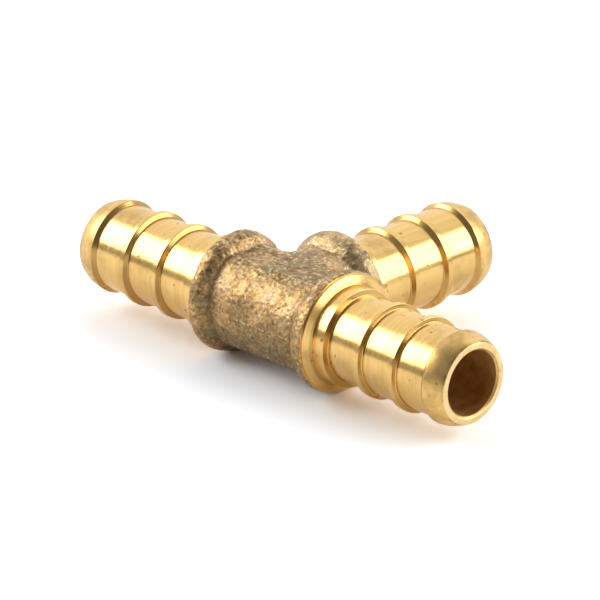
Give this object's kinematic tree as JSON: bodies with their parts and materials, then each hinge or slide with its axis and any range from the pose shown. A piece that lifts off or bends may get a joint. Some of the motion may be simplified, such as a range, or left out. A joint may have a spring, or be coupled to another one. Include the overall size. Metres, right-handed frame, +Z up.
{
  "type": "barbed tee connector",
  "caption": "Brass tee that joins a branch hose to a run of hose: a cast body with rounded collars and turned spigots with barb ribs and rounded noses.",
  "frame": {"origin": "where the axis of the run and the axis of the branch cross, in the middle of the waterway", "axes": "+X along the run towards the outlet spigot, +Y along the branch, +Z up, square to the flat plane that holds both axes"},
  "size_m": [0.0678, 0.0411, 0.0164],
  "materials": {
    "cast_brass": "rough sand-cast skin with a mottled brown and gold patina; the collar faces are machined bright",
    "turned_brass": "bright turned brass with fine turning marks"
  },
  "bodies": {
    "root": {"tee_body": "cast_brass", "inlet_spigot": "turned_brass", "outlet_spigot": "turned_brass", "branch_spigot": "turned_brass"}
  },
  "joints": []
}
